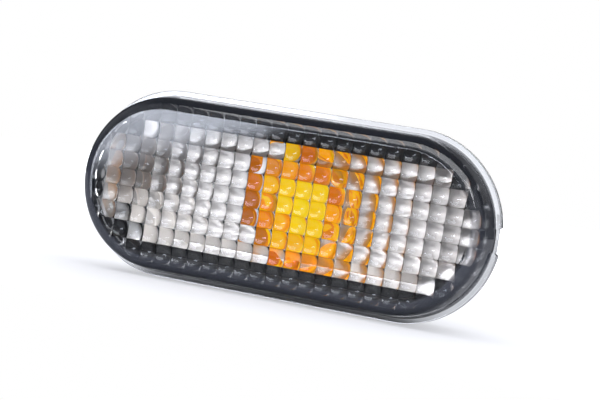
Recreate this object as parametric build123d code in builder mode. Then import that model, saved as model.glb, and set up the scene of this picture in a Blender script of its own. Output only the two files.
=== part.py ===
import os
from math import ceil, radians, sqrt, tan
from build123d import *

# Side repeater lamp as fitted to a car wing, in millimetres. X runs along the lamp, +Z is up and the
# lens faces -Y. Heights are measured outward from the face of the body panel, which lies at Y = 0.

# Outline: every level of the lamp is a racetrack, two half rounds joined by straights
straight = 43.5
lip_step = 0.85
wall_draft = 8.5
face_height = 7.4
face_round = 2.3
lip_back = 0.5
lip_front = 1.75
lip_chamfer = 0.2

# Pillow optics on the inside of the face
pillow_rows = 9
side_wall = 2.075
pillow_radius = 3.6
face_thickness = 2.75
pillow_root = 0.4
root_gap = 0.05

# Notch in the lip at the right end, for prising the lamp out
notch_width = 4.3
notch_depth = 0.6

# Housing
gasket_thickness = 0.8
gasket_width = 1.2
gasket_margin = 0.2
flange_thickness = 1.1
flange_clearance = 0.3
skirt_thickness = 0.9
rib_height = 1.5
rib_thickness = 1.05
rib_clearance = 0.12
ledge_width = 0.7
collar_thickness = 0.8
collar_back = -1.0
tub_radius = 11.5
tub_thickness = 0.8
floor_clearance = 0.2
floor_thickness = 1.2
tub_round = 2.0
panel_gap = 1.3
hook_reach = 2.0
hook_clearance = 0.1
hook_thickness = 1.2
hook_rise = 3.0
hook_width = 6.0
tongue_nose = 0.55
tongue_ramp = 2.6
tongue_thickness = 0.7
tongue_width = 6.0
tongue_root = 7.6
gusset_reach = 4.2
gusset_thickness = 1.2

# Reflector and amber cap
reflector_ledge = -0.3
reflector_thickness = 0.55
reflector_clearance = 0.15
trough_floor = -9.0
trough_draft = 1.2
trough_round = 0.2
cap_clearance = 0.1
cap_thickness = 0.6
cap_top = -1.5
cap_shoulder = 1.0
bulb_way = 0.6

# Wedge-base bulb
bulb_gap = 0.9
bulb_radius = 5.0
bulb_wall = 0.6
bulb_length = 25.0
foot_width = 9.4
foot_thickness = 2.1
foot_length = 8.5
lead_spacing = 6.8
lead_radius = 0.25
lead_fit = 0.01
lead_fold = 5.5
filament_drop = 8.0
filament_radius = 0.3
filament_rise = 1.4
foot_round = 2.4

# Twist-in holder, its neck on the housing and the plug shroud
bore_radius = 7.6
barrel_clearance = 0.2
lug_reach = 1.5
lug_thickness = 1.5
lug_width = 5.0
lug_gap = 0.1
barrel_nose = 0.6
neck_thickness = 1.3
neck_ring = 2.0
neck_end = -19.0
seal_thickness = 1.2
holder_flange = 11.5
holder_flange_thickness = 2.0
pocket_width = 10.6
pocket_height = 6.4
shroud_width = 13.4
shroud_height = 8.4
shroud_wall = 1.2
shroud_depth = 7.5
holder_floor = 1.7
bulb_clearance = 0.3
wing_thickness = 2.0
wing_length = 6.0
wing_draft = 8.0
latch_width = 4.0
latch_rise = 1.8
latch_setback = 1.0
latch_ramp = 2.5
latch_flat = 0.8
pocket_round = 0.6

# Contact blades
blade_width = 2.8
blade_thickness = 0.8
blade_spacing = 7.4
blade_fit = 0.05
blade_back = 1.2
spring_thickness = 0.4
fork_length = 6.0

# Sizes that follow from those above
tub_end = straight / 2 + tub_radius
gasket_inner = tub_radius + hook_reach + hook_clearance
hook_tip = straight / 2 + sqrt((tub_radius + hook_reach)**2 - (hook_width / 2)**2)
nose_tip = straight / 2 + sqrt((tub_radius + hook_reach)**2 - (tongue_width / 2)**2)
gasket_radius = gasket_inner + gasket_width
flange_radius = gasket_radius + gasket_margin
skirt_radius = flange_radius + flange_clearance
lip_radius = skirt_radius + skirt_thickness
wall_radius = lip_radius - lip_step
flange_top = gasket_thickness + flange_thickness
pillow_field = wall_radius - side_wall
pillow_pitch = 2 * pillow_field / pillow_rows
pillow_columns = 2 * ceil((straight / 2 + pillow_field) / pillow_pitch)
pillow_crown = face_height - face_thickness
corner_sag = pillow_radius - sqrt(pillow_radius**2 - pillow_pitch**2 / 2)
ceiling = pillow_crown + corner_sag + root_gap
rib_radius = pillow_field - rib_clearance
tub_inner = tub_radius - tub_thickness
mouth_radius = tub_inner + ledge_width
collar_radius = mouth_radius + collar_thickness
rim_radius = mouth_radius - reflector_clearance
rim_top = reflector_ledge + reflector_thickness
shell_radius = tub_inner - reflector_clearance
trough_radius = shell_radius - reflector_thickness
trough_back = trough_floor - reflector_thickness
tub_floor = trough_back - floor_clearance
tub_back = tub_floor - floor_thickness
tongue_face = nose_tip - tongue_nose
tongue_back = tongue_face - tongue_thickness
floor_radius = trough_radius - (rim_top - trough_floor) * tan(radians(trough_draft)) - trough_round
cap_radius = floor_radius - cap_clearance
cap_flat = trough_radius - trough_round - cap_clearance - cap_shoulder
cap_round = cap_radius - cap_flat
bulb_hole = bulb_radius + bulb_way
bulb_top = cap_top - cap_thickness - bulb_gap
bulb_end = bulb_top - bulb_length
foot_top = bulb_end + foot_length
barrel_radius = bore_radius - barrel_clearance
lug_radius = barrel_radius + lug_reach
chamber_radius = lug_radius + barrel_clearance
neck_radius = chamber_radius + neck_thickness
ring_front = neck_end + neck_ring
lug_back = ring_front + lug_gap
barrel_front = lug_back + lug_thickness + barrel_nose
flange_front = neck_end - seal_thickness
flange_back = flange_front - holder_flange_thickness
lead_line = foot_thickness / 2 + lead_radius + lead_fit
lead_bend = lead_line / 2
clip_base = bulb_end - lead_bend - lead_radius - lead_fit
pocket_floor = clip_base - spring_thickness
shroud_floor = pocket_floor - holder_floor
shroud_mouth = shroud_floor - shroud_depth
latch_foot = shroud_height / 2 + shroud_wall / 2
latch_end = -shroud_mouth - latch_setback - latch_ramp - latch_flat
half_pitch = lead_spacing / 2
lead_top = bulb_top - filament_drop
cavity_floor = foot_top + foot_round
cavity_top = bulb_top - bulb_wall
cavity_radius = bulb_radius - bulb_wall
filament_span = half_pitch - lead_radius - filament_radius
fork_inner = lead_line + lead_radius + lead_fit
fork_outer = fork_inner + spring_thickness
blade_tip = shroud_mouth + blade_back


def level(height):
    """Plane parallel to the body panel, a given height outside it."""
    return Plane.XZ.offset(height)


def racetrack(radius, mode=Mode.ADD):
    """Racetrack outline of the lamp's own straight length."""
    return SlotCenterToCenter(straight, 2 * radius, mode=mode)


# One pillow: a square cut from a ball, crown at its own origin
with BuildPart() as pillow:
    with Locations((0, 0, pillow_radius)):
        Sphere(pillow_radius, rotation=(90, 0, 0))
    with BuildSketch():
        Rectangle(pillow_pitch, pillow_pitch)
    extrude(amount=corner_sag + pillow_root, mode=Mode.INTERSECT)

# The whole field of pillows, one square beside the next, trimmed to the racetrack
with BuildPart(level(pillow_crown)) as pillows:
    with GridLocations(pillow_pitch, pillow_pitch, pillow_columns, pillow_rows):
        add(pillow.part)
    with BuildSketch(level(pillow_crown)):
        racetrack(pillow_field + pillow_root)
    extrude(amount=corner_sag + pillow_root, mode=Mode.INTERSECT)

# Clear lens: lip, drafted wall, rolled face edge, hollow back with pillows under the face
with BuildPart() as lens:
    with BuildSketch(level(lip_back)):
        racetrack(lip_radius)
    extrude(amount=lip_front - lip_back)
    chamfer(lens.edges().group_by(Axis.Y)[0], lip_chamfer)
    with BuildSketch(level(lip_front)):
        racetrack(wall_radius)
    extrude(amount=face_height - lip_front, taper=wall_draft)
    fillet(lens.edges().group_by(Axis.Y)[0], face_round)
    with BuildSketch(level(lip_back)):
        racetrack(skirt_radius)
    extrude(amount=flange_top - lip_back, mode=Mode.SUBTRACT)
    with BuildSketch(level(flange_top)):
        racetrack(pillow_field)
    extrude(amount=ceiling - flange_top, mode=Mode.SUBTRACT)
    with BuildSketch(level(lip_back)):
        with Locations((straight / 2 + lip_radius, 0)):
            Rectangle(2 * notch_depth, notch_width)
    extrude(amount=lip_front - lip_back, mode=Mode.SUBTRACT)
    add(pillows.part)
lens.part.label = "lens"

# Black housing: flange with its locating rib, collar, tub and neck
with BuildPart() as housing:
    with BuildSketch(level(gasket_thickness)):
        racetrack(flange_radius)
    extrude(amount=flange_thickness)
    with BuildSketch(level(flange_top)):
        racetrack(rib_radius)
        racetrack(rib_radius - rib_thickness, mode=Mode.SUBTRACT)
    extrude(amount=rib_height)
    with BuildSketch(level(collar_back)):
        racetrack(collar_radius)
    extrude(amount=gasket_thickness - collar_back)
    with BuildSketch(level(tub_back)):
        racetrack(tub_radius)
    extrude(amount=collar_back - tub_back)
    fillet(housing.edges().group_by(Axis.Y)[-1], tub_round)
    with BuildSketch(level(neck_end)):
        Circle(neck_radius)
    extrude(amount=tub_floor - neck_end)
    with BuildSketch(Plane.XY):
        with BuildLine():
            Polyline(
                (-neck_radius - gusset_reach, -tub_floor),
                (-neck_radius - gusset_reach, -tub_back),
                (-neck_radius, -neck_end),
                (neck_radius, -neck_end),
                (neck_radius + gusset_reach, -tub_back),
                (neck_radius + gusset_reach, -tub_floor),
                close=True,
            )
        make_face()
    extrude(amount=gusset_thickness / 2, both=True)
    # hollow for the reflector, mouth for its rim, lug chamber and bore with two lug ways
    with BuildSketch(level(tub_floor)):
        racetrack(tub_inner)
    extrude(amount=flange_top - tub_floor, mode=Mode.SUBTRACT)
    with BuildSketch(level(reflector_ledge)):
        racetrack(mouth_radius)
    extrude(amount=flange_top - reflector_ledge, mode=Mode.SUBTRACT)
    with BuildSketch(level(ring_front)):
        Circle(chamber_radius)
    extrude(amount=tub_floor - ring_front, mode=Mode.SUBTRACT)
    with BuildSketch(level(neck_end)):
        Circle(bore_radius)
        SlotCenterToCenter(2 * (lug_radius - lug_width / 2), lug_width + 2 * barrel_clearance)
    extrude(amount=neck_ring, mode=Mode.SUBTRACT)
    # fixed hook at the left end, drawn in plan
    with BuildSketch(Plane.XY):
        with BuildLine():
            Polyline(
                (-tub_end + tub_thickness / 2, panel_gap),
                (-hook_tip, panel_gap),
                (-hook_tip, panel_gap + hook_thickness),
                (-tub_end + tub_thickness / 2, panel_gap + hook_thickness + hook_rise),
                close=True,
            )
        make_face()
    extrude(amount=hook_width / 2, both=True)
    # sprung tongue at the right end, rooted low on the tub
    with BuildSketch(Plane.XY):
        with BuildLine():
            Polyline(
                (tub_end - tub_thickness / 2, tongue_root - tongue_thickness),
                (tongue_back, tongue_root - tongue_thickness),
                (tongue_back, panel_gap),
                (nose_tip, panel_gap),
                (nose_tip, panel_gap + hook_thickness / 2),
                (tongue_face, panel_gap + tongue_ramp),
                (tongue_face, tongue_root - tongue_thickness / 2),
                (tub_end - tub_thickness / 2, tongue_root + tongue_thickness / 2),
                close=True,
            )
        make_face()
    extrude(amount=tongue_width / 2, both=True)
housing.part.label = "housing"

# Metallised reflector: rim on the ledge, shallow drafted trough, hole for the bulb
with BuildPart() as reflector:
    with BuildSketch(level(reflector_ledge)):
        racetrack(shell_radius)
    extrude(amount=trough_back - reflector_ledge, taper=trough_draft)
    fillet(reflector.edges().group_by(Axis.Y)[-1], trough_round + reflector_thickness)
    with BuildSketch(level(reflector_ledge)):
        racetrack(rim_radius)
    extrude(amount=reflector_thickness)
    with BuildSketch(level(rim_top)):
        racetrack(trough_radius)
    extrude(amount=trough_floor - rim_top, taper=trough_draft, mode=Mode.SUBTRACT)
    fillet(reflector.edges().filter_by_position(Axis.Y, -trough_floor, -trough_floor), trough_round)
    with BuildSketch(level(trough_back)):
        Circle(bulb_hole)
    extrude(amount=reflector_thickness, mode=Mode.SUBTRACT)
reflector.part.label = "reflector"

# Amber cap: round cup with a rolled shoulder, its open edge bonded to the reflector's floor
with BuildPart() as amber_cap:
    with BuildSketch(Plane.XY):
        with BuildLine():
            Polyline(
                (0, -cap_top),
                (cap_flat, -cap_top),
            )
            RadiusArc(
                (cap_flat, -cap_top),
                (cap_radius, -cap_top + cap_round),
                -cap_round,
            )
            Polyline(
                (cap_radius, -cap_top + cap_round),
                (cap_radius, -trough_floor),
                (cap_radius - cap_thickness, -trough_floor),
                (cap_radius - cap_thickness, -cap_top + cap_round),
            )
            RadiusArc(
                (cap_radius - cap_thickness, -cap_top + cap_round),
                (cap_flat, -cap_top + cap_thickness),
                cap_round - cap_thickness,
            )
            Polyline(
                (cap_flat, -cap_top + cap_thickness),
                (0, -cap_top + cap_thickness),
                (0, -cap_top),
            )
        make_face()
    revolve(axis=Axis.Y)
amber_cap.part.label = "amber_cap"

# Foam gasket under the flange
with BuildPart() as gasket:
    with BuildSketch(level(0)):
        racetrack(gasket_radius)
        racetrack(gasket_inner, mode=Mode.SUBTRACT)
    extrude(amount=gasket_thickness)
gasket.part.label = "gasket"

# Bulb glass: blown envelope and pressed foot, hollow, with a way through the foot for each lead
with BuildPart() as bulb_glass:
    with BuildSketch(Plane.XY):
        with BuildLine():
            RadiusArc((0, -bulb_top), (bulb_radius, -bulb_top + bulb_radius), -bulb_radius)
            Line((bulb_radius, -bulb_top + bulb_radius), (bulb_radius, -cavity_floor))
            RadiusArc((bulb_radius, -cavity_floor), (bulb_radius - foot_round, -foot_top), -foot_round)
            Polyline((bulb_radius - foot_round, -foot_top), (0, -foot_top), (0, -bulb_top))
        make_face()
    revolve(axis=Axis.Y)
    with BuildSketch(level(bulb_end)):
        Rectangle(foot_width, foot_thickness)
    extrude(amount=foot_length + foot_round)
    with BuildSketch(Plane.XY):
        with BuildLine():
            RadiusArc((0, -cavity_top), (cavity_radius, -bulb_top + bulb_radius), -cavity_radius)
            Polyline(
                (cavity_radius, -bulb_top + bulb_radius),
                (cavity_radius, -cavity_floor),
                (0, -cavity_floor),
                (0, -cavity_top),
            )
        make_face()
    revolve(axis=Axis.Y, mode=Mode.SUBTRACT)
    with BuildSketch(level(bulb_end)):
        with Locations((-half_pitch, 0), (half_pitch, 0)):
            Circle(lead_radius + lead_fit)
    extrude(amount=cavity_floor - bulb_end, mode=Mode.SUBTRACT)
bulb_glass.part.label = "bulb_glass"

# Lead wires: up through the foot to the filament, and folded back up opposite faces of the foot
with BuildPart() as bulb_lead_left:
    with BuildLine() as run_left:
        Line((-half_pitch, -lead_top, 0), (-half_pitch, -bulb_end, 0))
        ThreePointArc(
            (-half_pitch, -bulb_end, 0),
            (-half_pitch, -bulb_end + lead_bend, lead_bend),
            (-half_pitch, -bulb_end, lead_line),
        )
        Line((-half_pitch, -bulb_end, lead_line), (-half_pitch, -bulb_end - lead_fold, lead_line))
    with BuildSketch(level(lead_top)):
        with Locations((-half_pitch, 0)):
            Circle(lead_radius)
    sweep(path=run_left.wires()[0])
bulb_lead_left.part.label = "bulb_lead_left"

with BuildPart() as bulb_lead_right:
    with BuildLine() as run_right:
        Line((half_pitch, -lead_top, 0), (half_pitch, -bulb_end, 0))
        ThreePointArc(
            (half_pitch, -bulb_end, 0),
            (half_pitch, -bulb_end + lead_bend, -lead_bend),
            (half_pitch, -bulb_end, -lead_line),
        )
        Line((half_pitch, -bulb_end, -lead_line), (half_pitch, -bulb_end - lead_fold, -lead_line))
    with BuildSketch(level(lead_top)):
        with Locations((half_pitch, 0)):
            Circle(lead_radius)
    sweep(path=run_right.wires()[0])
bulb_lead_right.part.label = "bulb_lead_right"

# Filament: the coil's outside, bowed between the lead tips
with BuildPart() as bulb_filament:
    with BuildLine() as bow:
        ThreePointArc(
            (-filament_span, -lead_top + filament_radius, 0),
            (0, -lead_top - filament_rise, 0),
            (filament_span, -lead_top + filament_radius, 0),
        )
    with BuildSketch(Plane(bow.edges()[0] @ 0, z_dir=bow.edges()[0] % 0)):
        Circle(filament_radius)
    sweep(path=bow.wires()[0])
bulb_filament.part.label = "bulb_filament"

# Twist-in holder: barrel with two lugs, flange, finger wings, plug shroud with a latch ramp
with BuildPart() as bulb_holder:
    with BuildSketch(level(flange_front)):
        Circle(barrel_radius)
    extrude(amount=barrel_front - flange_front)
    with BuildSketch(level(lug_back)):
        SlotCenterToCenter(2 * (lug_radius - lug_width / 2), lug_width, rotation=90)
    extrude(amount=lug_thickness)
    with BuildSketch(level(flange_back)):
        Circle(holder_flange)
    extrude(amount=holder_flange_thickness)
    fillet(bulb_holder.edges().group_by(Axis.Y)[-1], holder_flange_thickness / 2)
    with BuildSketch(level(shroud_mouth)):
        RectangleRounded(shroud_width + 2 * shroud_wall, shroud_height + 2 * shroud_wall, 2 * shroud_wall)
    extrude(amount=flange_back - shroud_mouth)
    with BuildSketch(level(flange_back - wing_length)):
        Rectangle(2 * (holder_flange - holder_flange_thickness / 2), wing_thickness)
    extrude(amount=wing_length, taper=-wing_draft)
    with BuildSketch(Plane.YZ):
        with BuildLine():
            Polyline(
                (-shroud_mouth - latch_setback, latch_foot),
                (-shroud_mouth - latch_setback - latch_ramp, latch_foot + latch_rise),
                (latch_end, latch_foot + latch_rise),
                (latch_end, latch_foot),
                close=True,
            )
        make_face()
    extrude(amount=latch_width / 2, both=True)
    # seat for the bulb, pocket for its foot and the contacts, plug socket, blade ways
    with BuildSketch(level(foot_top - lead_fit)):
        Circle(bulb_radius + bulb_clearance)
    extrude(amount=barrel_front - foot_top + lead_fit, mode=Mode.SUBTRACT)
    with BuildSketch(level(pocket_floor)):
        RectangleRounded(pocket_width, pocket_height, pocket_round)
    extrude(amount=foot_top - pocket_floor, mode=Mode.SUBTRACT)
    with BuildSketch(level(shroud_mouth)):
        RectangleRounded(shroud_width, shroud_height, shroud_wall)
    extrude(amount=shroud_depth, mode=Mode.SUBTRACT)
    with BuildSketch(level(shroud_floor)):
        with Locations((-blade_spacing / 2, 0), (blade_spacing / 2, 0)):
            Rectangle(blade_width + 2 * blade_fit, blade_thickness + 2 * blade_fit)
    extrude(amount=holder_floor, mode=Mode.SUBTRACT)
bulb_holder.part.label = "bulb_holder"

# Rubber ring between the holder's flange and the neck
with BuildPart() as holder_seal:
    with BuildSketch(level(flange_front)):
        Circle(neck_radius - barrel_clearance)
        Circle(barrel_radius + barrel_clearance, mode=Mode.SUBTRACT)
    extrude(amount=seal_thickness)
holder_seal.part.label = "holder_seal"

# Left contact: a fork that grips the foot, ending as a blade in the shroud, drawn in side view
with BuildPart() as terminal_left:
    with BuildSketch(Plane.YZ.offset(-blade_spacing / 2)):
        with Locations((-(pocket_floor + blade_tip) / 2, 0)):
            Rectangle(pocket_floor - blade_tip, blade_thickness)
        with Locations((-clip_base + spring_thickness / 2, 0)):
            Rectangle(spring_thickness, 2 * fork_outer)
        with Locations((-clip_base - fork_length / 2, fork_inner + spring_thickness / 2)):
            Rectangle(fork_length, spring_thickness)
        with Locations((-clip_base - fork_length / 2, -fork_inner - spring_thickness / 2)):
            Rectangle(fork_length, spring_thickness)
    extrude(amount=blade_width / 2, both=True)
terminal_left.part.label = "terminal_left"

# Right contact: the same fork, mirrored across the lamp
with BuildPart() as terminal_right:
    add(mirror(terminal_left.part, about=Plane.YZ, mode=Mode.PRIVATE))
terminal_right.part.label = "terminal_right"

os.makedirs("parts", exist_ok=True)
export_step(lens.part, "parts/lens.step")
export_step(housing.part, "parts/housing.step")
export_step(reflector.part, "parts/reflector.step")
export_step(amber_cap.part, "parts/amber_cap.step")
export_step(gasket.part, "parts/gasket.step")
export_step(bulb_glass.part, "parts/bulb_glass.step")
export_step(bulb_lead_left.part, "parts/bulb_lead_left.step")
export_step(bulb_lead_right.part, "parts/bulb_lead_right.step")
export_step(bulb_filament.part, "parts/bulb_filament.step")
export_step(bulb_holder.part, "parts/bulb_holder.step")
export_step(holder_seal.part, "parts/holder_seal.step")
export_step(terminal_left.part, "parts/terminal_left.step")
export_step(terminal_right.part, "parts/terminal_right.step")
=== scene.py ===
import math

import bmesh
import bpy
from mathutils import Matrix, Vector


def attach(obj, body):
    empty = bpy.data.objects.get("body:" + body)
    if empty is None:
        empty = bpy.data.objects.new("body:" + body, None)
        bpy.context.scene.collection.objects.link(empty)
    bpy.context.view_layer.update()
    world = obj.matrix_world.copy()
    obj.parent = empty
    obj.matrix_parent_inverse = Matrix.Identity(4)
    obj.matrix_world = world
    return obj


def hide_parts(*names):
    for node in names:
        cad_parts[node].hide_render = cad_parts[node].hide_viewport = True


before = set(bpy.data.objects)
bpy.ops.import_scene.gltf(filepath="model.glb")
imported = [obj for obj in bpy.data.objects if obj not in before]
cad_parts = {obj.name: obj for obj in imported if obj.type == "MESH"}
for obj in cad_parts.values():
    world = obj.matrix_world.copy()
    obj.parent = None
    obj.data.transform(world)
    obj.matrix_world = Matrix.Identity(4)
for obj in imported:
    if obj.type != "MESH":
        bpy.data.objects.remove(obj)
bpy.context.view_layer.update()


# Lens: one clear acrylic moulding, welded to the housing's flange. Its rolled front edge has painted slate
# shade, lighter below and darker above, in place of the dark housing seen through it. Its lip covers the
# panel cutout, and the inside of its face has nine rows of square pillows with painted shade on the seams.
# Sizes are in millimetres, and heights are taken outwards from the panel.
millimetre = 0.001
half_straight = 21.75
pillow_pitch = 2.95
pillow_columns = 24
pillow_rows = 9
pillow_ball = 3.6
pillow_crown = 4.65
pillow_edge = 0.008
pillow_edge_power = 8
cells_per_pillow = 12
field_radius = pillow_rows * pillow_pitch / 2
seat_height = 1.92
skirt_radius = 15.3
lip_radius = 16.2
lip_back = 0.5
lip_front = 1.75
lip_round = 0.1
lip_chamfer = 0.03
wall_radius = 15.35
wall_root = 0.06
wall_draft = math.radians(8.5)
face_height = 7.4
face_round = 2.3
round_steps = 10
edge_support = 0.04
notch_half_width = 2.15
notch_depth = 0.6
tolerance = 0.0001
crease_angle = math.radians(30)


def spine(point):
    """Nearest point on the straight middle line of the racetrack outline."""
    return Vector((max(-half_straight, min(half_straight, point.x)), 0, 0))


def onto_racetrack(vert, radius, height):
    """Moves a vertex straight out to the racetrack of that radius, at a height above the panel."""
    middle = spine(vert.co)
    out = Vector((vert.co.x - middle.x, vert.co.y, 0)).normalized()
    vert.co = middle + radius * out + Vector((0, 0, height))


def next_ring(shape, edges, radius, height):
    """Draws the open edge of a racetrack shape on to the next ring of its section."""
    made = bmesh.ops.extrude_edge_only(shape, edges=edges)["geom"]
    for vert in [part for part in made if isinstance(part, bmesh.types.BMVert)]:
        onto_racetrack(vert, radius, height)
    return [part for part in made if isinstance(part, bmesh.types.BMEdge) and part.is_boundary]


def in_pillow(place, first):
    """Middle of the pillow that a place is on, along one direction, and how far off it the place is."""
    count = math.floor((place - first) / pillow_pitch + tolerance)
    middle = (count + 0.5) * pillow_pitch + first
    return middle, place - middle


def crowd_edges(place, first):
    """Draws evenly spaced lines towards the edges of their pillow, where its surface turns steep."""
    middle, off = in_pillow(place, first)
    share = 2 * off / pillow_pitch
    return middle + share * (1.5 - 0.5 * share**2) * pillow_pitch / 2


def pillow_height(x, y):
    """Height of the pillowed surface: part of a ball, turned up steeply beside its neighbours."""
    along = in_pillow(x, 0)[1]
    across = in_pillow(y, field_radius)[1]
    ball = pillow_ball - math.sqrt(pillow_ball**2 - along**2 - across**2)
    steep = (2 * along / pillow_pitch)**pillow_edge_power + (2 * across / pillow_pitch)**pillow_edge_power
    return pillow_crown + ball + steep * pillow_edge


def stand_up(shape):
    """Millimetres lying on the panel, height upward, become metres with the lens facing forward."""
    turn = Matrix.Scale(millimetre, 4) @ Matrix.Rotation(math.radians(90), 4, "X")
    bmesh.ops.transform(shape, matrix=turn, verts=shape.verts)
    bmesh.ops.recalc_face_normals(shape, faces=shape.faces)


def soften(shape):
    """Smooth faces, with a crease wherever two of them meet at more than the crease angle."""
    for face in shape.faces:
        face.smooth = True
    for edge in shape.edges:
        edge.smooth = edge.calc_face_angle(0) < crease_angle


lens = bmesh.new()
bmesh.ops.create_grid(
    lens,
    x_segments=pillow_columns * cells_per_pillow,
    y_segments=pillow_rows * cells_per_pillow,
    size=1,
    matrix=Matrix.Diagonal((pillow_columns * pillow_pitch / 2, field_radius, 1, 1)),
)
outside = []
for face in lens.faces:
    middle = face.calc_center_median()
    if (middle - spine(middle)).length > field_radius:
        outside.append(face)
bmesh.ops.delete(lens, geom=outside, context="FACES")
for vert in lens.verts:
    vert.co.x = crowd_edges(vert.co.x, 0)
    vert.co.y = crowd_edges(vert.co.y, field_radius)
    if vert.is_boundary:
        onto_racetrack(vert, field_radius, 0)
    vert.co.z = pillow_height(vert.co.x, vert.co.y)

wall_rise = face_height - face_round - lip_front
round_middle = wall_radius - wall_rise * math.tan(wall_draft) - face_round / math.cos(wall_draft)
section = [
    (field_radius, seat_height),
    (skirt_radius, seat_height),
    (skirt_radius, lip_back),
    (lip_radius - lip_chamfer, lip_back),
    (lip_radius, lip_back + lip_chamfer),
    (lip_radius, lip_front - lip_round - edge_support),
    (lip_radius, lip_front - lip_round),
    (lip_radius - lip_chamfer, lip_front - lip_chamfer),
    (lip_radius - lip_round, lip_front),
    (lip_radius - lip_round - edge_support, lip_front),
    (wall_radius + wall_root + edge_support, lip_front),
    (wall_radius + wall_root, lip_front),
    (wall_radius, lip_front + wall_root),
    (wall_radius - edge_support * math.tan(wall_draft), lip_front + wall_root + edge_support),
]
for step in range(round_steps + 1):
    angle = wall_draft + (math.radians(90) - wall_draft) * step / round_steps
    section.append((
        round_middle + face_round * math.cos(angle),
        face_height - face_round + face_round * math.sin(angle),
    ))
section.append((round_middle - edge_support, face_height))
edge_ring = [edge for edge in lens.edges if edge.is_boundary]
for radius, height in section:
    edge_ring = next_ring(lens, edge_ring, radius, height)
bmesh.ops.edgeloop_fill(lens, edges=edge_ring)
for vert in lens.verts:
    if vert.co.z < lip_front + tolerance and abs(vert.co.y) < notch_half_width:
        vert.co.x = min(vert.co.x, half_straight + lip_radius - notch_depth)
stand_up(lens)
soften(lens)


class Shade:
    """A socket in a material: sums on it add Math nodes, and any other node comes from node()."""

    def __init__(self, tree, socket=None):
        self.tree = tree
        self.socket = socket

    def node(self, kind, settings=None, links=None, output=0):
        made = self.tree.nodes.new(kind)
        for name, value in (settings or {}).items():
            if name == "stops":
                stops = made.color_ramp.elements
                while len(stops) < len(value):
                    stops.new(1)
                for stop, (position, colour) in zip(stops, value):
                    stop.position = position
                    stop.color = colour
            else:
                setattr(made, name, value)
        for name, value in (links or {}).items():
            if isinstance(value, Shade):
                self.tree.links.new(value.socket, made.inputs[name])
            else:
                made.inputs[name].default_value = value
        return Shade(self.tree, made.outputs[output])

    def into(self, shader, name):
        self.tree.links.new(self.socket, shader.inputs[name])

    def sum(self, operation, first, second=0):
        return self.node("ShaderNodeMath", {"operation": operation}, {0: first, 1: second})

    def __add__(self, other):
        return self.sum("ADD", self, other)

    def __sub__(self, other):
        return self.sum("SUBTRACT", self, other)

    def __rsub__(self, other):
        return self.sum("SUBTRACT", other, self)

    def __mul__(self, other):
        return self.sum("MULTIPLY", self, other)

    __radd__ = __add__
    __rmul__ = __mul__


def new_material(name, **constants):
    """A new material: itself, its shader with the constant sockets set, its place on the piece."""
    made = bpy.data.materials.new(name)
    made.use_nodes = True
    shader = made.node_tree.nodes["Principled BSDF"]
    for socket, value in constants.items():
        shader.inputs[socket.replace("_", " ")].default_value = value
    place = Shade(made.node_tree).node("ShaderNodeTexCoord", output="Object")
    return made, shader, place


def noise(place, lumps_per_metre, detail=2):
    """Plain noise over the piece."""
    links = {"Vector": place, "Scale": lumps_per_metre, "Detail": detail}
    return place.node("ShaderNodeTexNoise", None, links, "Fac")


def blend(amount, low, high):
    """Colour between two, by an amount over the surface."""
    return amount.node("ShaderNodeMix", {"data_type": "RGBA"}, {0: amount, 6: low, 7: high}, 2)


def ramp(value, start, end):
    """Soft step from 0 to 1 as a value goes from start to end."""
    links = {"Value": value, "From Min": start, "From Max": end}
    return value.node("ShaderNodeMapRange", {"interpolation_type": "SMOOTHSTEP"}, links)


def axis(vector, name):
    """One of a vector's three values."""
    return vector.node("ShaderNodeSeparateXYZ", None, {"Vector": vector}, name)


def lamp_places(place):
    """Millimetres along the lamp, out from the panel, across the lamp and out from its middle line."""
    along = axis(place, "X") * (1 / millimetre)
    height = axis(place, "Y") * (-1 / millimetre)
    across = axis(place, "Z") * (1 / millimetre)
    past_end = along.sum("MAXIMUM", along.sum("ABSOLUTE", along) - half_straight)
    reach = along.sum("SQRT", past_end * past_end + across * across)
    return along, height, across, reach


def piece(name, shape, material, node):
    """Turns a finished shape into an object that rides on the lamp in place of its solid."""
    mesh = bpy.data.meshes.new(name)
    shape.to_mesh(mesh)
    shape.free()
    mesh.materials.append(material)
    made = bpy.data.objects.new(name, mesh)
    bpy.context.scene.collection.objects.link(made)
    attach(made, "root")
    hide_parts(node)
    return made


clear_hazy = (0.955, 0.965, 0.98, 1)
clear_bright = (0.985, 0.99, 0.995, 1)
# Painted shade along the seams between the pillows: its colour, the width of its band and its strength.
seam_shade_colour = (0.05, 0.05, 0.055, 1)
seam_width = (0.03, 0.12)
seam_shade_strength = 0.8
row_seam_share = 0.5
pillow_back = (pillow_crown - 0.2, pillow_crown)
pillow_front = (6.2, 6.5)
inner_wall_top = (5.7, 6.5)
inner_wall_reach = (field_radius + 0.05, field_radius + 0.3)
rolled_reach = (round_middle - 0.1, round_middle + 0.5)
rolled_height = (lip_front, lip_front + 0.4)
# Painted slate shade for the rolled edge, standing in for the dark housing seen through it: lit lighter
# below, shaded darker above.
slate_lit_below = (0.058, 0.064, 0.086, 1)
slate_shaded_above = (0.014, 0.016, 0.022, 1)
slate_light_span = (-4.0, 9.0)
slate_roughness = 0.06
slate_shade_share = 0.64

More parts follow.
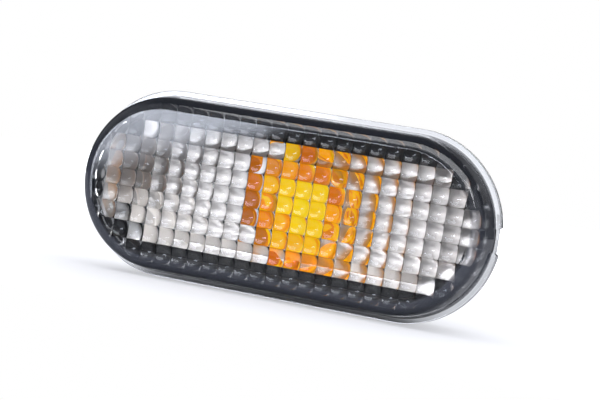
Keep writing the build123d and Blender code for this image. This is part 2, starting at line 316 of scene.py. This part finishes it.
acrylic, shader, place = new_material(
    "clear_acrylic", Transmission_Weight=1.0, IOR=1.49, Specular_Tint=(0.88, 0.92, 1.0, 1)
)
haze = noise(place, 90, 3)
specks = noise(place, 2600, 1)
along, height, across, reach = lamp_places(place)
from_column_line = along.sum("PINGPONG", along, pillow_pitch / 2)
from_row_line = along.sum("PINGPONG", across + pillow_pitch / 2, pillow_pitch / 2)
column_seam = 1 - ramp(from_column_line, *seam_width)
row_seam = (1 - ramp(from_row_line, *seam_width)) * row_seam_share
on_pillows = ramp(height, *pillow_back) * (1 - ramp(height, *pillow_front))
seam_shade = along.sum("MAXIMUM", column_seam, row_seam) * on_pillows
clear_tone = blend(haze, clear_hazy, clear_bright)
# Painted shade: the clear acrylic's colour is darkened along the pillow seams.
blend(seam_shade * seam_shade_strength, clear_tone, seam_shade_colour).into(shader, "Base Color")
inner_wall = (1 - ramp(reach, *inner_wall_reach)) * (1 - ramp(height, *inner_wall_top))
rolled_edge = ramp(reach, *rolled_reach) * ramp(height, *rolled_height) * (1 - inner_wall)
(haze * 0.02 + specks * 0.012 + rolled_edge * 0.03).into(shader, "Roughness")
# Painted shade: the rolled edge is mixed with a slate layer, lighter below and darker above.
painted_slate_shade = blend(ramp(across, *slate_light_span), slate_lit_below, slate_shaded_above)
slate_links = {"Base Color": painted_slate_shade, "Roughness": slate_roughness}
slate_shade_shader = place.node("ShaderNodeBsdfPrincipled", None, slate_links)
clear_shader = Shade(place.tree, shader.outputs["BSDF"])
lens_links = {0: rolled_edge * slate_shade_share, 1: clear_shader, 2: slate_shade_shader}
lens_shader = place.node("ShaderNodeMixShader", None, lens_links)
lens_shader.into(acrylic.node_tree.nodes["Material Output"], "Surface")
clear_lens = piece("clear_lens", lens, acrylic, "lens")


# Housing: one black moulding with the flange that the lens is welded to, a locating rib, the tub round the
# reflector, a hook and a sprung tongue for the panel, and the neck for the bulb holder. The left end of the
# ledge that the reflector lies on is painted bright and metallic like the reflector, as painted light on that
# end alone.
merge_distance = 0.002 * millimetre
flat_angle = math.radians(0.5)
sharp_angle = math.radians(35)
moulded_round = 0.18 * millimetre
moulded_black = (0.007, 0.007, 0.008, 1)
moulded_grey = (0.013, 0.013, 0.0145, 1)
# Painted light: a bright metallic colour for the left end of the ledge, and the spans where it lies.
ledge_light_colour = (0.84, 0.83, 0.825, 1)
left_light_span = (31.0, 32.5)
left_light_reach = (12.4, 12.6)
left_light_height = (-0.7, -0.3)


def rounded_copy(node, edge_round=0, steps=2):
    """Copy of a solid's mesh, merged, with every sharp edge rounded as a moulding's is."""
    shape = bmesh.new()
    shape.from_mesh(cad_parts[node].data)
    bmesh.ops.remove_doubles(shape, verts=shape.verts, dist=merge_distance)
    bmesh.ops.dissolve_limit(shape, angle_limit=flat_angle, verts=shape.verts, edges=shape.edges)
    if edge_round:
        sharp = [edge for edge in shape.edges if edge.calc_face_angle(0) > sharp_angle]
        bmesh.ops.bevel(
            shape,
            geom=sharp,
            offset=edge_round,
            affect="EDGES",
            segments=steps,
            profile=0.5,
            clamp_overlap=True,
            material=-1,
        )
    soften(shape)
    return shape


def bump(relief, depth, strength):
    """Surface normal of a relief over the piece, with its depth in millimetres."""
    links = {"Height": relief, "Distance": depth * millimetre, "Strength": strength}
    return relief.node("ShaderNodeBump", None, links)


black_plastic, shader, place = new_material("black_plastic", IOR=1.5, Specular_IOR_Level=0.3)
blotches = noise(place, 160, 4)
along, height, _, reach = lamp_places(place)
# Painted light: the left end of the ledge is made bright and metallic.
left_end_light = ramp(along * -1, *left_light_span) * (1 - ramp(reach, *left_light_reach)) * ramp(height, *left_light_height)
blend(left_end_light, blend(blotches, moulded_black, moulded_grey), ledge_light_colour).into(shader, "Base Color")
left_end_light.into(shader, "Metallic")
(blotches * 0.16 + 0.42 - left_end_light * 0.08).into(shader, "Roughness")
bump(noise(place, 5200), 0.02, 0.5).into(shader, "Normal")
housing = rounded_copy("housing", moulded_round)
piece("housing_moulding", housing, black_plastic, "housing")


# Reflector: a thin shallow plastic trough, vacuum-metallised bright on the inside. Its rim lies on a ledge in
# the housing, and a round hole in its floor lets the bulb through. Painted light makes its colour brightest
# on the lower wall and the left end, and painted shade makes it greyer towards the right end.
trough_floor = -9.0
floor_edge = (trough_floor + 0.3, trough_floor + 1.2)
trough_wall = (9.45, 9.75)
upper_wall = (1.0, 4.0)
right_end_shade_span = (14.0, 31.0)
right_end_shade_share = 0.75
silver_dark = (0.51, 0.49, 0.475, 1)
silver_light = (0.59, 0.565, 0.55, 1)
# Colours painted over the metallising: brighter for painted light, greyer for painted shade.
silver_painted_light = (0.84, 0.825, 0.815, 1)
silver_painted_shade = (0.26, 0.24, 0.228, 1)

metallising, shader, place = new_material("bright_metallising", Metallic=1.0)
sheen = noise(place, 240, 3)
along, height, across, reach = lamp_places(place)
# Painted light: the lower wall and the ends of the trough are made brighter.
painted_light_wall = ramp(reach, *trough_wall) * (1 - ramp(across, *upper_wall))
silver = blend(painted_light_wall, blend(sheen, silver_dark, silver_light), silver_painted_light)
# Painted shade: the metallising turns greyer towards the right end.
blend(ramp(along, *right_end_shade_span) * right_end_shade_share, silver, silver_painted_shade).into(shader, "Base Color")
above_floor = ramp(height, *floor_edge)
(sheen * 0.06 + 0.27 + above_floor * 0.04).into(shader, "Roughness")
piece("reflector_trough", rounded_copy("reflector"), metallising, "reflector")


# Amber cap: a round amber cup over the bulb, which gives the flash its colour. It is moulded with a rolled
# shoulder, and its open edge is bonded to the floor of the reflector, round the bulb's hole. Seen through the
# pillows it is yellow round a painted highlight in the middle, orange round it and broken by brown chips of
# painted shade near its rim, with painted shade on its left side and painted light on its wall. It also
# glows though it is no lamp, most on its wall: painted light.
cap_radius = 9.506
cap_inner = 8.906
cap_flat = 8.7
cap_top = -1.5
cap_foot = -8.99
cap_round = cap_radius - cap_flat
cap_wall = cap_radius - cap_inner
outer_steps = 8
inner_steps = 4
spin_steps = 72
axis_merge = 0.0005


def shoulder(radius, steps):
    """Points of a quarter round in the cap's section, from its side up to its top."""
    points = []
    for step in range(steps + 1):
        angle = math.radians(90 * step / steps)
        across = cap_flat + radius * math.cos(angle)
        points.append((across, cap_top - cap_round + radius * math.sin(angle)))
    return points


outline = [(0, cap_top)]
outline += reversed(shoulder(cap_round, outer_steps))
outline += [(cap_radius, cap_foot), (cap_inner, cap_foot)]
outline += shoulder(cap_round - cap_wall, inner_steps)
outline.append((0, cap_top - cap_wall))
cap = bmesh.new()
profile = [cap.verts.new((radius, 0, height)) for radius, height in outline]
for first, second in zip(profile, profile[1:]):
    cap.edges.new((first, second))
bmesh.ops.spin(
    cap,
    geom=cap.verts[:] + cap.edges[:],
    cent=(0, 0, 0),
    axis=(0, 0, 1),
    angle=math.radians(360),
    steps=spin_steps,
    use_merge=True,
)
bmesh.ops.remove_doubles(cap, verts=cap.verts, dist=axis_merge)
stand_up(cap)
soften(cap)

# Painted highlight: an oval bright spot, and colours from yellow round it to orange and brown further out.
highlight_stretch = (0.95, 0, 0.78)
highlight_shift = (-0.0020, 0, 0)
amber_light_to_shade_stops = [
    (0.0, (1.0, 0.72, 0.001, 1)),
    (0.44, (1.0, 0.64, 0.001, 1)),
    (0.62, (1.0, 0.34, 0.001, 1)),
    (0.76, (0.70, 0.17, 0.001, 1)),
    (0.88, (1.0, 0.48, 0.001, 1)),
    (1.0, (1.0, 0.62, 0.001, 1)),
]
left_shade_amber = (0.62, 0.14, 0.001, 1)
wall_light_amber = (1.0, 0.52, 0.001, 1)
chip_shade_amber = (0.42, 0.09, 0.001, 1)
left_shade_span = (-8.0, -4.5)
wall_span = (cap_top - 1.6, cap_top - 0.5)
rim_span = (0.45, 0.85)
chip_span = (0.64, 0.70)
chip_shade_strength = 0.8
painted_glow_top = 0.48
black = (0, 0, 0, 1)


def facets(place, scale):
    """Angular patches over the piece, so many to the metre, each with its own value from 0 to 1."""
    patch = place.node("ShaderNodeTexVoronoi", None, {"Vector": place, "Scale": scale}, "Color")
    return axis(patch, "X")


# Painted light: the cap glows though it is no lamp, most on its wall.
amber, shader, place = new_material(
    "amber_plastic", Transmission_Weight=0.05, IOR=1.5, Specular_IOR_Level=0.02, Emission_Strength=0.7
)
cloud = noise(place, 520, 3)
chips = facets(place, 900.0)
patches = facets(place, 420.0) * 0.55 + chips * 0.4
oval_links = {0: place, 1: highlight_stretch, 2: highlight_shift}
oval = place.node("ShaderNodeVectorMath", {"operation": "MULTIPLY_ADD"}, oval_links)
oval_length = oval.node("ShaderNodeVectorMath", {"operation": "LENGTH"}, {0: oval}, "Value")
from_painted_highlight = oval_length * (1 / millimetre / cap_radius)
# Painted light and shade: distance from the painted highlight, broken up at random, picks the colour.
depth = from_painted_highlight * (0.55 + patches) + cloud * 0.3 - 0.15
tint = depth.node("ShaderNodeValToRGB", {"stops": amber_light_to_shade_stops}, {"Fac": depth})
along, height = lamp_places(place)[:2]
# Painted shade: the left side of the cap is darker.
shaded_left = (1 - ramp(along, *left_shade_span)) * (0.5 + patches * 0.5)
tint = blend(shaded_left, tint, left_shade_amber)
# Painted light: the cap's wall is made a brighter yellow-orange.
lit_wall = 1 - ramp(height, *wall_span)
tint = blend(lit_wall * (0.9 - patches * 0.6), tint, wall_light_amber)
# Painted shade: brown chips near the rim of the cap.
chip_shade = ramp(chips, *chip_span) * ramp(from_painted_highlight, *rim_span) * chip_shade_strength
tint = blend(chip_shade, tint, chip_shade_amber)
tint.into(shader, "Base Color")
# Painted light: the glow, weaker on the top and full on the wall.
blend(painted_glow_top + lit_wall * (1 - painted_glow_top), black, tint).into(shader, "Emission Color")
(cloud * 0.06 + 0.04).into(shader, "Roughness")
piece("amber_dome", cap, amber, "amber_cap")


# Gasket: a die-cut ring of closed-cell foam between the flange and the body panel, stuck on by its own
# adhesive.
foam_round = 0.1 * millimetre
foam_dark = (0.011, 0.011, 0.012, 1)
foam_light = (0.032, 0.032, 0.034, 1)

foam, shader, place = new_material("black_foam", IOR=1.45)
cells = place.node("ShaderNodeTexVoronoi", None, {"Vector": place, "Scale": 2600.0}, "Distance")
blend(cells, foam_dark, foam_light).into(shader, "Base Color")
(0.98 - cells * 0.1).into(shader, "Roughness")
bump(cells, 0.12, 0.8).into(shader, "Normal")
piece("foam_gasket", rounded_copy("gasket", foam_round), foam, "gasket")


# Bulb: a wedge-base lamp of clear blown glass with a pressed foot. Two wires come up through the foot and
# carry a coiled tungsten filament.
glass_dull = (0.96, 0.97, 0.97, 1)
glass_clear = (0.99, 0.99, 0.99, 1)
wire_dark = (0.42, 0.38, 0.34, 1)
wire_light = (0.62, 0.58, 0.53, 1)
tungsten_dark = (0.10, 0.10, 0.105, 1)
tungsten_light = (0.24, 0.235, 0.23, 1)
sides = ("left", "right")

glass, shader, place = new_material("bulb_glass", Transmission_Weight=1.0, IOR=1.5)
seeds = noise(place, 500)
blend(seeds, glass_dull, glass_clear).into(shader, "Base Color")
(seeds * 0.02).into(shader, "Roughness")
bump(noise(place, 260, 1), 0.03, 0.3).into(shader, "Normal")
piece("bulb_envelope", rounded_copy("bulb_glass"), glass, "bulb_glass")

wire, shader, place = new_material("lead_wire", Metallic=1.0)
drawn = noise(place, 1500, 3)
blend(drawn, wire_dark, wire_light).into(shader, "Base Color")
(drawn * 0.2 + 0.22).into(shader, "Roughness")
for side in sides:
    node = "bulb_lead_" + side
    piece("lead_wire_" + side, rounded_copy(node), wire, node)

tungsten, shader, place = new_material("tungsten", Metallic=1.0)
sooty = noise(place, 2200)
blend(sooty, tungsten_dark, tungsten_light).into(shader, "Base Color")
(sooty * 0.2 + 0.35).into(shader, "Roughness")
piece("filament_coil", rounded_copy("bulb_filament"), tungsten, "bulb_filament")


# Bulb holder: a black nylon moulding that twists into the neck by two lugs, with finger wings, a flange
# that presses the seal, and a shroud for the wiring plug.
nylon_dark = (0.014, 0.014, 0.014, 1)
nylon_light = (0.026, 0.026, 0.027, 1)

nylon, shader, place = new_material("black_nylon", IOR=1.53)
mottle = noise(place, 210, 4)
blend(mottle, nylon_dark, nylon_light).into(shader, "Base Color")
(mottle * 0.18 + 0.38).into(shader, "Roughness")
bump(noise(place, 3600, 3), 0.03, 0.5).into(shader, "Normal")
piece("holder_moulding", rounded_copy("bulb_holder", moulded_round), nylon, "bulb_holder")


# Seal: a soft moulded rubber ring on the bulb holder. Twisting the holder in pinches it between the
# holder's flange and the end of the neck, and nothing else holds it.
seal_round = 0.3 * millimetre
seal_round_steps = 3
rubber_dark = (0.020, 0.020, 0.021, 1)
rubber_light = (0.050, 0.049, 0.048, 1)

rubber, shader, place = new_material("seal_rubber", IOR=1.5)
bloom = noise(place, 380, 4)
blend(bloom, rubber_dark, rubber_light).into(shader, "Base Color")
(bloom * 0.15 + 0.68).into(shader, "Roughness")
bump(noise(place, 2400), 0.03, 0.4).into(shader, "Normal")
seal = rounded_copy("holder_seal", seal_round, seal_round_steps)
piece("rubber_seal", seal, rubber, "holder_seal")


# Contacts: two blades stamped from tinned brass strip, pushed through the floor of the holder. Each has a
# fork that grips the bulb's foot and a flat tab inside the plug shroud.
stamped_round = 0.08 * millimetre
tin_dark = (0.62, 0.60, 0.55, 1)
tin_light = (0.80, 0.79, 0.76, 1)
rolling_stretch = (900.0, 90.0, 900.0)

tinned, shader, place = new_material("tinned_brass", Metallic=1.0)
stretched = place.node("ShaderNodeMapping", None, {"Vector": place, "Scale": rolling_stretch})
rolled = noise(stretched, 2, 3)
blend(rolled, tin_dark, tin_light).into(shader, "Base Color")
(rolled * 0.22 + 0.2).into(shader, "Roughness")
for side in sides:
    node = "terminal_" + side
    piece("contact_" + side, rounded_copy(node, stamped_round), tinned, node)


# Floor: a wide sheet of pale grey paper that the lamp stands on by the lower edge of its lip. It keeps the
# soft shadow, and it glows for the camera alone, so that it looks white.
floor_half_width = 0.4
floor_cells = 8
floor_place = (0, 0.34, -lip_radius * millimetre)
paper_dark = (0.50, 0.505, 0.53, 1)
paper_light = (0.54, 0.545, 0.57, 1)
glow_colour = (0.95, 0.96, 1.0, 1)
glow_near = 0.5
glow_added_far = 0.7
far_span = (0.05, 0.3)

floor_shape = bmesh.new()
bmesh.ops.create_grid(
    floor_shape,
    x_segments=floor_cells,
    y_segments=floor_cells,
    size=floor_half_width,
    matrix=Matrix.Translation(floor_place),
)
sheet_mesh = bpy.data.meshes.new("studio_sheet")
floor_shape.to_mesh(sheet_mesh)
floor_shape.free()
paper, shader, place = new_material("studio_paper", Roughness=0.9)
blend(noise(place, 40, 3), paper_dark, paper_light).into(shader, "Base Color")
camera_ray = place.node("ShaderNodeLightPath", output="Is Camera Ray")
glow_strength = camera_ray * (glow_near + ramp(axis(place, "Y"), *far_span) * glow_added_far)
glow = place.node("ShaderNodeEmission", None, {"Color": glow_colour, "Strength": glow_strength})
lit_paper = Shade(place.tree, shader.outputs["BSDF"])
glowing_paper = place.node("ShaderNodeAddShader", None, {0: lit_paper, 1: glow})
glowing_paper.into(paper.node_tree.nodes["Material Output"], "Surface")
sheet_mesh.materials.append(paper)
studio_floor = bpy.data.objects.new("studio_sheet", sheet_mesh)
bpy.context.scene.collection.objects.link(studio_floor)


# Studio light: dark surroundings with a soft band and a bright slanted window, which the lens mirrors as a
# veil, and white behind the lamp for what shows through its glass. A big box hangs in front and above, with a
# narrow strip on the right and a wide box overhead. The camera sees plain white.
dark_level = 0.11
band_level = 0.6
band_start = (0.08, 0.32)
band_end = (0.55, 0.8)
window_level = 8.0
window_added_above = 5.0
window_slope = 0.45
window_offset = 0.1784
window_ripple = 0.014
window_edge = (-0.006, 0.010)
window_middle = (-0.02, 0.0)
window_top = (0.06, 0.14)
window_left = (-0.8, -0.6)
window_depth = (-0.5, -0.3)
behind_span = (0.0, 0.35)
ambient_low = 0.25
ambient_added_above = 0.35
ambient_span = (0.0, 0.8)
sky_colour = (0.92, 0.94, 1.0, 1)
white = (1, 1, 1, 1)

world = bpy.data.worlds.new("studio")
bpy.context.scene.world = world
world.use_nodes = True
backdrop = world.node_tree.nodes["Background"]
sky = Shade(world.node_tree)
seen = sky.node("ShaderNodeLightPath", output="Is Camera Ray")
scattered = sky.node("ShaderNodeLightPath", output="Is Diffuse Ray")
passing = sky.node("ShaderNodeLightPath", output="Is Transmission Ray")
direction = sky.node("ShaderNodeTexCoord", output="Generated")
side_way = axis(direction, "X")
back_way = axis(direction, "Y")
up_way = axis(direction, "Z")
behind = ramp(back_way, *behind_span)
band = ramp(up_way, *band_start) * (1 - ramp(up_way, *band_end)) * (1 - behind)
slant = up_way - side_way * window_slope + noise(direction, 60) * window_ripple - window_offset
window = ramp(slant, *window_edge) * (1 - ramp(up_way, *window_top))
window = window * ramp(side_way, *window_left) * (1 - ramp(back_way, *window_depth))
window_light = window * (window_level + ramp(up_way, *window_middle) * window_added_above)
mirrored = sky.sum("MAXIMUM", dark_level + band * band_level + window_light, behind * passing)
ambient = ambient_low + ramp(up_way, *ambient_span) * ambient_added_above
around = scattered * ambient + (1 - scattered) * mirrored
(seen + (1 - seen) * around).into(backdrop, "Strength")
blend(seen, sky_colour, white).into(backdrop, "Color")


def soft_box(name, place, width, depth, power):
    """A rectangular lamp of that size, hung at a place and turned to the middle of the object."""
    lamp = bpy.data.lights.new(name, "AREA")
    lamp.shape = "RECTANGLE"
    lamp.size = width
    lamp.size_y = depth
    lamp.energy = power
    hung = bpy.data.objects.new(name, lamp)
    hung.location = place
    hung.rotation_euler = (-Vector(place)).to_track_quat("-Z", "Y").to_euler()
    bpy.context.scene.collection.objects.link(hung)
    return hung


def keep_off(name, shaded, boxes):
    """Keeps the light of some boxes off one object."""
    left_out = bpy.data.collections.new(name)
    left_out.objects.link(shaded)
    left_out.collection_objects[0].light_linking.link_state = "EXCLUDE"
    for box in boxes:
        box.light_linking.receiver_collection = left_out


front_box = soft_box("front_soft_box", (0.12, -0.58, 0.64), width=1.1, depth=0.6, power=9.0)
right_strip = soft_box("right_strip", (0.36, -0.42, 0.30), width=0.05, depth=0.22, power=0.35)
top_box = soft_box("top_soft_box", (0.03, 0.20, 0.68), width=1.8, depth=1.7, power=10.4)
keep_off("floor_without_front_light", studio_floor, [front_box, right_strip])
keep_off("lens_without_top_light", clear_lens, [top_box])


# Camera: a long lens a little above the lamp and round to its right, held slightly turned, so that the
# lamp runs downhill to the right.
camera_place = (0.12246, -0.3074, 0.01288)
camera_right = Vector((0.9168, 0.3662, 0.1592))
camera_up = Vector((-0.1612, -0.0254, 0.9866))
camera_view = Vector((-0.3654, 0.9302, -0.0357))
camera = bpy.data.cameras.new("camera")
camera.lens = 116.8
camera.sensor_width = 36
camera.clip_start = 0.01
tripod = bpy.data.objects.new("camera", camera)
camera_turn = Matrix((camera_right, camera_up, -camera_view)).transposed().to_4x4()
tripod.matrix_world = Matrix.Translation(camera_place) @ camera_turn
bpy.context.scene.collection.objects.link(tripod)
bpy.context.scene.camera = tripod

bpy.context.scene.view_settings.view_transform = "Standard"
